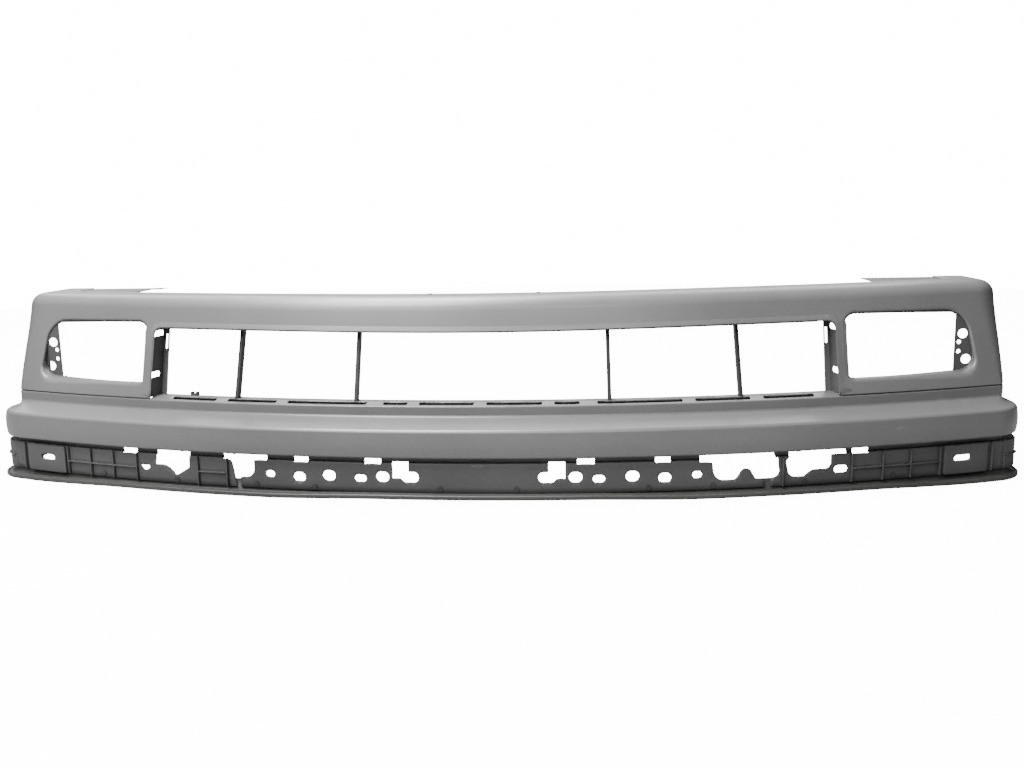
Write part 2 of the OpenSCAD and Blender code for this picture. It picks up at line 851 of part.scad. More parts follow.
// ---- side retainers --------------------------------------------------------

retainer_t = 2.5;
retainer_face_x = fascia_half_w - wall;
retainer_w = 99;
retainer_strip_w = 22;
retainer_low_z = 160;
retainer_ear_z = 250;
retainer_high_z = 276;
retainer_hole_y = back_y - 10;

// Upright strip inside the side wall, with an ear at its top that reaches past the wall
module side_retainer() {
    front = back_y - retainer_w;
    color(charcoal) difference() {
        translate([retainer_face_x, 0, 0]) rotate([0, -90, 0]) linear_extrude(retainer_t) polygon([
            [retainer_low_z, front], [retainer_high_z, front], [retainer_high_z, back_y],
            [retainer_ear_z, back_y], [retainer_ear_z, front + retainer_strip_w],
            [retainer_low_z, front + retainer_strip_w]
        ]);
        translate([retainer_face_x - 10, retainer_hole_y, (retainer_ear_z + retainer_high_z) / 2])
            rotate([0, 90, 0]) cylinder(h = 20, d = side_hole_d, $fn = 48);
        retainer_rivet_places() side_rivet_hole();
    }
}

module side_retainer_left() { on_side(-1) side_retainer(); }
module side_retainer_right() { on_side(1) side_retainer(); }

// ---- clip and rivets ------------------------------------------------------

shank_d = 4;
head_d = 9;
head_t = 1.6;

ledge_clip_x = -500;

module ledge_clip() {
    color(charcoal) on_bow(ledge_clip_x, -ledge_depth, seam_z + ledge_rise)
        translate([-7, -7, 0]) difference() {
            cube([14, 7, 6]);
            translate([4, -1, 3]) cube([6, 9, 4]);
        }
}

module rivet_hole() { cylinder(h = 60, d = shank_d, center = true, $fn = 32); }
module bow_rivet_hole() { rotate([90, 0, 0]) cylinder(h = 60, d = shank_d, center = true, $fn = 32); }
module side_rivet_hole() { rotate([0, 90, 0]) cylinder(h = 30, d = shank_d, center = true, $fn = 32); }

// Rivet through a stack of plates between two heights
module rivet(stack) {
    cylinder(h = stack, d = shank_d, $fn = 32);
    translate([0, 0, -head_t]) cylinder(h = head_t, d = head_d, $fn = 32);
    translate([0, 0, stack]) cylinder(h = head_t, d = head_d - 2, $fn = 32);
}

carrier_rivet_x = [30, 205, 320, 500, 640, 720, 800];
module carrier_rivet_places() {
    for (x = carrier_rivet_x) {
        for (s = [-1, 1]) {
            on_bow(s * x, carrier_out - carrier_flange + 4.5, bar_low_z - carrier_wall) children();
        }
    }
}

module carrier_rivets() {
    color(steel) carrier_rivet_places() rivet(2 * wall);
}

lip_rivet_x = [60, 265, 365, 510, 655, 755];
lip_rivet_z = 20.5;
module lip_rivet_places() {
    for (x = lip_rivet_x) {
        for (s = [-1, 1]) {
            on_bow(s * x, carrier_out, lip_rivet_z) children();
        }
    }
}

module lip_rivets() {
    color(charcoal) lip_rivet_places() rotate([-90, 0, 0]) rivet(carrier_wall + lip_wall);
}

top_rivet_x = [90, 280, 500];
corner_rivet_x = [680, 745];
corner_rivet_out = -108;
module top_rivet_places() {
    for (s = [-1, 1]) {
        for (x = top_rivet_x) {
            on_bow(s * x, -106, top_z - wall - rail_t) children();
        }
        for (x = corner_rivet_x) {
            on_bow(s * x, corner_rivet_out, top_z - wall - rail_t) children();
        }
    }
}

module top_rivets() {
    color(charcoal) top_rivet_places() rivet(wall + rail_t);
}

module retainer_rivet_places() {
    for (z = [185, 240]) {
        translate([retainer_face_x, back_y - retainer_w + retainer_strip_w / 2, z]) children();
    }
}

module retainer_rivets() {
    color(charcoal) for (side = [-1, 1]) {
        on_side(side) retainer_rivet_places()
            translate([-retainer_t, 0, 0]) rotate([0, -90, 0]) cylinder(h = head_t, d = head_d, $fn = 32);
    }
}

// ---- one line per node -----------------------------------------------------

upper_fascia();
bumper_bar();
carrier_center();
carrier_left();
carrier_right();
carrier_end_left();
carrier_end_right();
valance_lip();
grille_strut_1();
grille_strut_2();
grille_strut_3();
grille_strut_4();
header_rail();
top_rail();
lamp_frame_left();
lamp_frame_right();
grille_bracket_left();
grille_bracket_right();
corner_flange_left();
corner_flange_right();
side_retainer_left();
side_retainer_right();
ledge_clip();
carrier_rivets();
lip_rivets();
top_rivets();
retainer_rivets();
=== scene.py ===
"""Front bumper cover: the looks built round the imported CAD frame.

Shapes are worked out in millimetres, in the CAD frame, and turned into metres when a mesh is made.
A "line" runs level round the cover and is given as (out, z, half width, corner radius): out is its
distance in front of the seam line at the middle. A place along a line is p: the X where the line
follows the bow, then on round the corner and back along the side.
"""
import json
import math

import bmesh
import bpy
import numpy as np
from mathutils import Matrix, Vector
from mathutils.geometry import delaunay_2d_cdt


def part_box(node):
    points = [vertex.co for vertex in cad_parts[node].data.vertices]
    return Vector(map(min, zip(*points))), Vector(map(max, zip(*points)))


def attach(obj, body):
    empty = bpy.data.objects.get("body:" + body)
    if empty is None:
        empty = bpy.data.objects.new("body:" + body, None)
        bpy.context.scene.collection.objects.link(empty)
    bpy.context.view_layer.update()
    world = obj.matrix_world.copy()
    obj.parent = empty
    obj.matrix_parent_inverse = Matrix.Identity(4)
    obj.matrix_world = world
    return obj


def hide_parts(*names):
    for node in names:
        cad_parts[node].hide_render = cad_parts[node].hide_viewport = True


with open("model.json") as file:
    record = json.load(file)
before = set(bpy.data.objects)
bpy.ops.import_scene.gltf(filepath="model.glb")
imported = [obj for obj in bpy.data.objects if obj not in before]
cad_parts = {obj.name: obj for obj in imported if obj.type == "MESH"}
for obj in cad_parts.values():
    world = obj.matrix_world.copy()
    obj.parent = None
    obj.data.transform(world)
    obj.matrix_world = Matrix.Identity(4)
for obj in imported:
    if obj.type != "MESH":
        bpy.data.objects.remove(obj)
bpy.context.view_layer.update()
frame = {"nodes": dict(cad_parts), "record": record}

# ---- driving sizes, in millimetres -----------------------------------------
MM = 0.001


def node_box(node):
    low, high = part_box(node)
    return low / MM, high / MM


BAR_LOW, BAR_HIGH = node_box("bumper_bar")
FASCIA_HIGH = node_box("upper_fascia")[1]
CARRIER_LOW, CARRIER_HIGH = node_box("carrier_center")

BOW_R = 2325
BAR_OUT = 51
LEDGE_RISE = 3
LEDGE_DEPTH = 41
WALL = 3
SHEET_WALL = WALL - 0.2
COLUMN_STEP = 11
HALF_W = BAR_HIGH.x
SIDE_BACK_Y = BAR_HIGH.y
SEAM_Y = BAR_LOW.y + BAR_OUT
SEAM_Z = BAR_HIGH.z - LEDGE_RISE
BOW_Y = SEAM_Y + BOW_R

FASCIA_W = FASCIA_HIGH.x
TOP_Z = FASCIA_HIGH.z
LEAN = 0.294
LEAN_ANGLE = math.atan(LEAN)
SHOULDER_R = 28
SHOULDER_Z = TOP_Z - SHOULDER_R
SHOULDER_LOW_Z = SHOULDER_Z + SHOULDER_R * math.sin(LEAN_ANGLE)
TOP_REACH = 118
CORNER_LOW_R = 20
CORNER_HIGH_R = 62
CORNER_TOP_R = 30
TOP_INSET = 74

GRILLE_W = 576
GRILLE_R = 18
BAND_Z = 262.5
BAND_RISE = 2.4
CROWN = 2.2

LAMP_IN = 585
LAMP_OUT = 813
LAMP_LOW = 169.5
LAMP_HIGH = 272
LAMP_LEAN = 16
LAMP_DIP = 3
LAMP_R = {"low_in": 16, "low_out": 22, "high_out": 46, "high_in": 18}

BAR_R = 80
BAR_LOW_Z = BAR_LOW.z
BAR_HIGH_Z = 116
SHELF_Z = 128
SLOT_FRONT = 9
SLOT_REAR = 22
SLOT_R = 2.5
SLOTS = [(10, 99), (118, 158), (186, 321), (341, 429), (450, 533)]

CARRIER_OUT = 38
CARRIER_W = 881
CARRIER_R = BAR_R - 30
CARRIER_LOW_Z = CARRIER_LOW.z
CARRIER_HIGH_Z = CARRIER_HIGH.z
CARRIER_SHELF_Z = 61.5
CARRIER_STEP = 5
CARRIER_FLANGE = 14
SPLIT_LEFT = -397
SPLIT_RIGHT = 450.5
RIB_DEPTH = 5
CORNER_RIB_DEPTH = 3
RIB_W = 2.2
RIB_Z = 37

LIP_OUT = 60
LIP_FLANGE_Z = 26


def smooth(t):
    t = min(1.0, max(0.0, t))
    return t * t * (3 - 2 * t)


def mix(a, b, t):
    return a + (b - a) * t


# ---- lines and the places along them -----------------------------------------
WRAP_X = 818
WRAP_LENGTH = 260
CORNER_FROM = 0.06
CORNER_TO = 0.45
CORNER_RIB_TO = 0.36


def line_point(line, p):
    """The point of a line at p, in millimetres."""
    out, z, half_w, r = line
    radius = BOW_R + out
    turn = math.asin((half_w - r) / (radius - r))
    side = -1 if p < 0 else 1
    reach = min(1.0, 0.995 * turn / math.asin(WRAP_X / radius))
    if abs(p) <= WRAP_X:
        a = math.asin(abs(p) / radius) * reach
        return Vector((side * radius * math.sin(a), BOW_Y - radius * math.cos(a), z))
    q = (abs(p) - WRAP_X) / WRAP_LENGTH
    if q <= CORNER_FROM:
        a = mix(math.asin(WRAP_X / radius) * reach, turn, q / CORNER_FROM)
        return Vector((side * radius * math.sin(a), BOW_Y - radius * math.cos(a), z))
    y = BOW_Y - (radius - r) * math.cos(turn)
    if q <= CORNER_TO:
        a = mix(turn, math.pi / 2, (q - CORNER_FROM) / (CORNER_TO - CORNER_FROM))
        return Vector((side * (half_w - r + r * math.sin(a)), y - r * math.cos(a), z))
    return Vector((side * half_w, mix(y, SIDE_BACK_Y, (q - CORNER_TO) / (1 - CORNER_TO)), z))


CARRIER_END = WRAP_X + WRAP_LENGTH * CORNER_FROM


def columns(step, extra=()):
    """Places along a line: even on the bow, closer round the corners."""
    half = list(np.arange(0, WRAP_X - step / 2, step)) + [WRAP_X]
    half += [WRAP_X + WRAP_LENGTH * q for q in np.linspace(0, CORNER_FROM, 3)[1:]]
    half += [WRAP_X + WRAP_LENGTH * q for q in np.linspace(CORNER_FROM, CORNER_TO, 15)[1:]]
    half += [WRAP_X + WRAP_LENGTH * q for q in np.linspace(CORNER_TO, 1, 11)[1:]]
    half += [x for x in extra if min(abs(x - h) for h in half) > 0.01]
    half = sorted(half)
    return [-x for x in reversed(half[1:])] + half


# ---- flat outlines -------------------------------------------------------------
def arc_corner(a, b, c, r, step=12):
    """Points of an arc of radius r fitted into the corner a-b-c."""
    a, b, c = (Vector(q[:2]) for q in (a, b, c))
    if r == 0:
        return [b]
    u, v = (a - b).normalized(), (c - b).normalized()
    half = math.acos(max(-1.0, min(1.0, u.dot(v)))) / 2
    centre = b + (u + v).normalized() * r / math.sin(half)
    first, last = b + u * r / math.tan(half) - centre, b + v * r / math.tan(half) - centre
    start = math.atan2(first.y, first.x)
    sweep = (math.atan2(last.y, last.x) - start + math.pi) % (2 * math.pi) - math.pi
    n = max(3, math.ceil(math.degrees(abs(sweep)) / step))
    angles = [start + sweep * i / n for i in range(n + 1)]
    return [centre + r * Vector((math.cos(t), math.sin(t))) for t in angles]


def rounded(corners, step=12):
    """Closed outline whose corners are (x, z, radius)."""
    n = len(corners)
    points = []
    for i, b in enumerate(corners):
        points += arc_corner(corners[i - 1], b, corners[(i + 1) % n], b[2], step)
    return points


def stadium(x, z, w, h):
    r = min(w, h) / 2 - 0.01
    return rounded([(x - w / 2, z - h / 2, r), (x + w / 2, z - h / 2, r),
                    (x + w / 2, z + h / 2, r), (x - w / 2, z + h / 2, r)], 15)


def box_outline(x, z, w, h, r):
    return rounded([(x - w / 2, z - h / 2, r), (x + w / 2, z - h / 2, r),
                    (x + w / 2, z + h / 2, r), (x - w / 2, z + h / 2, r)], 30)


def spread(points, gap, closed=True):
    """The same path with no stretch longer than gap."""
    result = []
    ends = list(zip(points, points[1:] + points[:1])) if closed else list(zip(points, points[1:]))
    for a, b in ends:
        n = max(1, math.ceil((b - a).length / gap))
        result += [a.lerp(b, i / n) for i in range(n)]
    return result if closed else result + [points[-1]]


def pushed(points, distances, closed=True):
    """A path moved to its left by a distance at each point."""
    n = len(points)
    result = []
    for i, b in enumerate(points):
        a = points[i - 1] if closed or i > 0 else b - (points[1] - b)
        c = points[(i + 1) % n] if closed or i < n - 1 else b + (b - points[i - 1])
        u, v = (b - a).normalized(), (c - b).normalized()
        left_u, left_v = Vector((-u.y, u.x)), Vector((-v.y, v.x))
        mitre = (left_u + left_v).normalized()
        result.append(b + mitre * distances[i] / max(0.5, mitre.dot(left_u)))
    return result


def inside(points, loops):
    """Which of the points lie inside an odd number of loops."""
    points = np.asarray(points)
    odd = np.zeros(len(points), bool)
    for loop in loops:
        a = np.array([q[:] for q in loop])
        b = np.roll(a, -1, axis=0)
        x, y = points[:, :1], points[:, 1:]
        crosses = (a[:, 1] > y) != (b[:, 1] > y)
        rise = np.where(b[:, 1] == a[:, 1], 1e-9, b[:, 1] - a[:, 1])
        at = a[:, 0] + (y - a[:, 1]) * (b[:, 0] - a[:, 0]) / rise
        odd ^= ((crosses & (x < at)).sum(axis=1) % 2).astype(bool)
    return odd


def clear_of(points, loops, gap):
    """Which of the points are further than gap from every loop."""
    points = np.asarray(points)
    keep = np.ones(len(points), bool)
    for loop in loops:
        a = np.array([q[:] for q in loop])
        d = np.roll(a, -1, axis=0) - a
        rel = points[:, None, :] - a[None, :, :]
        t = np.clip((rel * d).sum(-1) / np.maximum((d * d).sum(-1), 1e-9), 0, 1)
        keep &= np.linalg.norm(rel - t[..., None] * d, axis=-1).min(axis=1) > gap
    return keep


class Surface:
    """Points in millimetres and faces, gathered into one mesh."""

    def __init__(self):
        self.points = []
        self.faces = []

    def add(self, points):
        start = len(self.points)
        self.points += points
        return list(range(start, start + len(points)))

    def bridge(self, first, second, closed=False):
        """Faces between two rows of the same length."""
        n = len(first)
        for i in range(n if closed else n - 1):
            j = (i + 1) % n
            self.faces.append((first[i], first[j], second[j], second[i]))

    def grid(self, rows, closed=False):
        ids = [self.add(row) for row in rows]
        for a, b in zip(ids, ids[1:]):
            self.bridge(a, b, closed)
        return ids

    def sheet(self, loops, fill, place, gap=3.5):
        """Triangles between flat loops, the first one the outside, put in space by place(x, y).
        Returns the vertex numbers of each loop."""
        flat, edges, spans = [], [], []
        for loop in loops:
            start = len(flat)
            flat += loop
            n = len(loop)
            edges += [(start + i, start + (i + 1) % n) for i in range(n)]
            spans.append((start, n))
        grid = np.array(fill)
        keep = inside(grid, loops[:1]) & ~inside(grid, loops[1:]) & clear_of(grid, loops, gap)
        flat = flat + [Vector(q) for q in grid[keep]]
        out, _, triangles, origin, _, _ = delaunay_2d_cdt(flat, edges, [], 0, 1e-6)
        ids = self.add([place(q.x, q.y) for q in out])
        centres = [sum((out[i] for i in t), Vector((0, 0))) / 3 for t in triangles]
        centres = [c[:] for c in centres]
        wanted = inside(centres, loops[:1]) & ~inside(centres, loops[1:])
        self.faces += [tuple(ids[i] for i in t) for t, w in zip(triangles, wanted) if w]
        number = {}
        for i, sources in enumerate(origin):
            for s in sources:
                number[s] = ids[i]
        return [[number[start + i] for i in range(n)] for start, n in spans]

    def build(self, name, node, material, thickness=0, bevel=0):
        mesh = bpy.data.meshes.new(name)
        mesh.from_pydata([p * MM for p in self.points], [], self.faces)
        mesh.validate()
        piece = bpy.data.objects.new(name, mesh)
        bpy.context.scene.collection.objects.link(piece)
        weld_and_clean(piece)
        mesh.shade_smooth()
        if thickness:
            solid = piece.modifiers.new("wall", "SOLIDIFY")
            solid.thickness = thickness * MM
            solid.offset = -1
            solid.use_even_offset = True
            solid.use_quality_normals = True
            solid.thickness_clamp = 1
        if bevel:
            add_bevel(piece, bevel)
        finish_shading(piece)
        mesh.materials.append(material)
        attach(piece, "root")
        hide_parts(node)
        return piece


def slot_of(node):
    return next(s["material_slot"] for s in frame["record"]["subparts"] if s["node"] == node)


def weld_and_clean(piece):
    bm = bmesh.new()
    bm.from_mesh(piece.data)
    bmesh.ops.remove_doubles(bm, verts=bm.verts, dist=0.02 * MM)
    loose = [v for v in bm.verts if not v.link_faces]
    bmesh.ops.delete(bm, geom=loose, context="VERTS")
    bm.to_mesh(piece.data)
    bm.free()


def add_bevel(piece, width):
    bevel = piece.modifiers.new("edges", "BEVEL")
    bevel.width = width * MM
    bevel.segments = 2
    bevel.limit_method = "ANGLE"
    bevel.angle_limit = math.radians(38)
    bevel.use_clamp_overlap = True


def finish_shading(piece):
    normals = piece.modifiers.new("normals", "WEIGHTED_NORMAL")
    normals.keep_sharp = True
    normals.weight = 60


# ---- materials -----------------------------------------------------------------
def noise(tree, coords, scale, detail=2.0, rough=0.5):
    node = tree.nodes.new("ShaderNodeTexNoise")
    node.inputs["Scale"].default_value = scale
    node.inputs["Detail"].default_value = detail
    node.inputs["Roughness"].default_value = rough
    tree.links.new(coords, node.inputs["Vector"])
    return node.outputs["Fac"]


def ramp(tree, value, stops):
    node = tree.nodes.new("ShaderNodeValToRGB")
    elements = node.color_ramp.elements
    while len(elements) < len(stops):
        elements.new(0.5)
    for element, (at, colour) in zip(elements, stops):
        element.position = at
        element.color = (*colour, 1) if len(colour) == 3 else (colour[0],) * 3 + (1,)
    tree.links.new(value, node.inputs["Fac"])
    return node.outputs["Color"]


def stretched(tree, coords, scale):
    mapping = tree.nodes.new("ShaderNodeMapping")
    mapping.inputs["Scale"].default_value = scale
    tree.links.new(coords, mapping.inputs["Vector"])
    return mapping.outputs["Vector"]


def blend(tree, factor, a, b, kind="MIX"):
    node = tree.nodes.new("ShaderNodeMix")
    node.data_type = "RGBA"
    node.blend_type = kind
    if isinstance(factor, float):
        node.inputs[0].default_value = factor
    else:
        tree.links.new(factor, node.inputs[0])
    for value, socket in ((a, node.inputs[6]), (b, node.inputs[7])):
        if isinstance(value, tuple):
            socket.default_value = (*value, 1)
        else:
            tree.links.new(value, socket)
    return node.outputs[2]


def plastic(name, dark, light, rough, grain, grain_depth, scuff=0.0, specular=0.4):
    """Moulded plastic: two close tones in soft clouds, a fine grain, and pale scuffs."""
    material = bpy.data.materials.new(name)
    material.use_nodes = True
    tree = material.node_tree
    shader = tree.nodes["Principled BSDF"]
    shader.inputs["Specular IOR Level"].default_value = specular
    coords = tree.nodes.new("ShaderNodeTexCoord").outputs["Object"]
    clouds = noise(tree, coords, 3.5, 3, 0.55)
    colour = ramp(tree, clouds, [(0.32, dark), (0.68, light)])
    speck = noise(tree, coords, 900, 1, 0.5)
    speckle = ramp(tree, speck, [(0.3, (0.9, 0.9, 0.9)), (0.7, (1.08, 1.08, 1.08))])
    colour = blend(tree, 1.0, colour, speckle, "MULTIPLY")
    rough_low, rough_high = rough
    roughness = ramp(tree, noise(tree, coords, 11, 4, 0.6), [(0.3, (rough_low,)), (0.7, (rough_high,))])
    if scuff:
        lines = noise(tree, stretched(tree, coords, (14, 14, 90)), 1.6, 5, 0.72)
        area = ramp(tree, noise(tree, coords, 2.3, 2, 0.5), [(0.56, (0.0,)), (0.66, (scuff,))])
        marks = ramp(tree, lines, [(0.60, (0.0,)), (0.70, (1.0,))])
        mask = blend(tree, area, (0.0, 0.0, 0.0), marks)
        pale = tuple(min(1.0, 1.5 * c) for c in light)
        colour = blend(tree, mask, colour, pale)
    tree.links.new(colour, shader.inputs["Base Color"])
    tree.links.new(roughness, shader.inputs["Roughness"])
    bump = tree.nodes.new("ShaderNodeBump")
    bump.inputs["Strength"].default_value = 1.0
    bump.inputs["Distance"].default_value = grain_depth * MM
    tree.links.new(noise(tree, coords, grain, 3, 0.6), bump.inputs["Height"])
    tree.links.new(bump.outputs["Normal"], shader.inputs["Normal"])
    return material


def zinc(name):
    material = bpy.data.materials.new(name)
    material.use_nodes = True
    tree = material.node_tree
    shader = tree.nodes["Principled BSDF"]
    shader.inputs["Metallic"].default_value = 1.0
    coords = tree.nodes.new("ShaderNodeTexCoord").outputs["Object"]
    tone = ramp(tree, noise(tree, coords, 240, 3, 0.6), [(0.3, (0.42, 0.43, 0.44)), (0.7, (0.6, 0.61, 0.62))])
    roughness = ramp(tree, noise(tree, coords, 420, 3, 0.6), [(0.3, (0.28,)), (0.7, (0.5,))])
    tree.links.new(tone, shader.inputs["Base Color"])
    tree.links.new(roughness, shader.inputs["Roughness"])
    return material


MATERIALS = {
    "fascia_plastic": plastic("fascia_plastic", (0.098, 0.097, 0.098), (0.118, 0.116, 0.117),
                              (0.3, 0.38), 1400, 0.008, scuff=0.25, specular=0.5),
    "flange_plastic": plastic("flange_plastic", (0.06, 0.06, 0.06), (0.085, 0.084, 0.084),
                              (0.6, 0.75), 900, 0.04, specular=0.12),
    "bar_plastic": plastic("bar_plastic", (0.088, 0.087, 0.088), (0.11, 0.108, 0.11),
                           (0.3, 0.38), 1400, 0.008, scuff=0.4, specular=0.5),
    "carrier_plastic": plastic("carrier_plastic", (0.042, 0.041, 0.042), (0.064, 0.063, 0.063),
                               (0.48, 0.64), 700, 0.06, scuff=0.3),
    # lip_rubber's near-black tone is painted shade: it makes the lip's floor behind the bead read as the dark
    # gap under the bar
    "lip_rubber": plastic("lip_rubber", (0.032, 0.033, 0.032), (0.048, 0.049, 0.047),
                          (0.34, 0.5), 900, 0.03, scuff=0.3),
    # strut_plastic's near-black tone is painted shade: the struts stand back behind the band, in its shade
    "strut_plastic": plastic("strut_plastic", (0.01, 0.0105, 0.0105), (0.018, 0.0185, 0.0185),
                             (0.42, 0.58), 800, 0.03),
    # bracket_plastic's dark tone is painted shade: the bracket plates sit back in the openings' shade
    "bracket_plastic": plastic("bracket_plastic", (0.035, 0.0355, 0.0355), (0.05, 0.0505, 0.05),
                               (0.42, 0.58), 800, 0.04),
    "rivet_nylon": plastic("rivet_nylon", (0.02, 0.02, 0.021), (0.034, 0.034, 0.035), (0.4, 0.5), 900, 0.02),
    "rivet_steel": zinc("rivet_steel"),
}


# ---- upper fascia ----------------------------------------------------------------
LAP_BACK = WALL + 0.6
LAP_FOOT = SEAM_Z - 20
LAP_HEAD = SEAM_Z - 4
GROOVE = 1.6
SIDE_CUT_Y = 130
SIDE_CUT_Z = 250
SIDE_CUT_RISE = 32
FACE_FROM = SEAM_Z + 3
ARC_END = SHOULDER_LOW_Z + SHOULDER_R * (math.pi / 2 - LEAN_ANGLE)


def face_out(z):
    return -(z - SEAM_Z) * LEAN


SHOULDER_OUT = face_out(SHOULDER_LOW_Z) - SHOULDER_R * math.cos(LEAN_ANGLE)
TOP_END = ARC_END + TOP_REACH + SHOULDER_OUT


def fascia_line(v):
    """Line of the fascia's outer face at v, which is Z on the face and then the way over the shoulder."""
    if v < SEAM_Z:
        step = max(0.0, (v - LAP_HEAD) / (SEAM_Z - LAP_HEAD))
        out = -LAP_BACK * (1 - step) - 0.7 * step
        return out, min(v + GROOVE + 4, SEAM_Z + GROOVE), FASCIA_W + out, CORNER_LOW_R + out
    if v <= SHOULDER_LOW_Z:
        t = (v - SEAM_Z) / (SHOULDER_LOW_Z - SEAM_Z)
        edge = 0.7 * max(0.0, 1 - (v - SEAM_Z) / (FACE_FROM - SEAM_Z)) ** 2
        z = max(v, mix(SEAM_Z + GROOVE, FACE_FROM, (v - SEAM_Z) / (FACE_FROM - SEAM_Z)))
        return face_out(z) - edge, z, FASCIA_W - edge, mix(CORNER_LOW_R, CORNER_HIGH_R, smooth(t))
    if v <= ARC_END:
        a = LEAN_ANGLE + (v - SHOULDER_LOW_Z) / SHOULDER_R
        t = (v - SHOULDER_LOW_Z) / (ARC_END - SHOULDER_LOW_Z)
        back = SHOULDER_R * (math.cos(LEAN_ANGLE) - math.cos(a))
        return (SHOULDER_OUT + SHOULDER_R * math.cos(a), SHOULDER_Z + SHOULDER_R * math.sin(a),
                FASCIA_W - back, mix(CORNER_HIGH_R, CORNER_TOP_R, t))
    t = (v - ARC_END) / (TOP_END - ARC_END)
    arc_w = FASCIA_W - SHOULDER_R * math.cos(LEAN_ANGLE)
    return (mix(SHOULDER_OUT, -TOP_REACH, t), TOP_Z, mix(arc_w, FASCIA_W - TOP_INSET, t),
            mix(CORNER_TOP_R, 6, t))


def crown(p, z):
    """The upper edge rises a little from the middle towards the pillars."""
    return CROWN * smooth(abs(p) / 560) * smooth((z - SEAM_Z) / (BAND_Z - SEAM_Z))


def fascia_point(p, v):
    point = line_point(fascia_line(v), p)
    point.z += crown(p, point.z)
    return point


def band_z(x):
    return BAND_Z + BAND_RISE * smooth(abs(x) / GRILLE_W)


def grille_edge():
    """The grille opening's edge, from its right foot up and over to its left foot."""
    top = [Vector((x, band_z(x))) for x in np.linspace(GRILLE_W - GRILLE_R - 6, GRILLE_R + 6 - GRILLE_W, 60)]
    corner = (GRILLE_W - 4, band_z(GRILLE_W))
    right = arc_corner((GRILLE_W, SEAM_Z), corner, (GRILLE_W - 60, band_z(GRILLE_W - 60)), GRILLE_R)
    left = [Vector((-q.x, q.y)) for q in reversed(right)]
    path = [Vector((GRILLE_W, LAP_FOOT))] + right + top + left + [Vector((-GRILLE_W, LAP_FOOT))]
    return spread(path, 9, closed=False)


def lamp_edge(side):
    """One lamp opening's edge, anticlockwise from the front."""
    corners = [(LAMP_IN, LAMP_LOW, LAMP_R["low_in"]), (LAMP_OUT, LAMP_LOW, LAMP_R["low_out"]),
               (LAMP_OUT - LAMP_LEAN, LAMP_HIGH - LAMP_DIP, LAMP_R["high_out"]),
               (LAMP_IN, LAMP_HIGH, LAMP_R["high_in"])]
    path = spread(rounded(corners, 8), 5)
    return path if side > 0 else [Vector((-q.x, q.y)) for q in reversed(path)]


LIP_STEPS = 5
ROLL_R = 4.0
ROLL_DEPTH = 8.0
LAMP_ROLL_R = 4.5
LAMP_ROLL_DEPTH = 7
LAMP_DEEPER = 16


def rolled_edge(surface, ring, path, radii, depths, place, closed):
    """An opening's edge rolled back from its ring on the face, then a return wall behind it."""
    flip = 1 if closed else -1
    rows = []
    for i in range(1, LIP_STEPS + 1):
        a = math.pi / 2 * i / LIP_STEPS
        shifts = [flip * -r * (1 - math.sin(a)) for r in radii]
        backs = [r * (1 - math.cos(a)) for r in radii]
        rows.append((pushed(path, shifts, closed), backs))
    for share in (0.5, 1.0):
        shifts = [flip * 0.6 * share for _ in path]
        backs = [mix(r, max(d, r + 1), share) for r, d in zip(radii, depths)]
        rows.append((pushed(path, shifts, closed), backs))
    last = ring
    for flat, backs in rows:
        ids = surface.add([place(q.x, q.y) + Vector((0, b, 0)) for q, b in zip(flat, backs)])
        surface.bridge(last, ids, closed)
        last = ids


def side_end(v):
    """Place where the fascia's side ends: cut back below the shoulder."""
    line = fascia_line(v)
    y = mix(SIDE_CUT_Y, SIDE_BACK_Y, (v - SIDE_CUT_Z) / SIDE_CUT_RISE) if v > SIDE_CUT_Z else SIDE_CUT_Y
    start = line_point(line, WRAP_X + WRAP_LENGTH * CORNER_TO).y
    share = min(1.0, (y - start) / (SIDE_BACK_Y - start))
    return WRAP_X + WRAP_LENGTH * mix(CORNER_TO, 1, share)


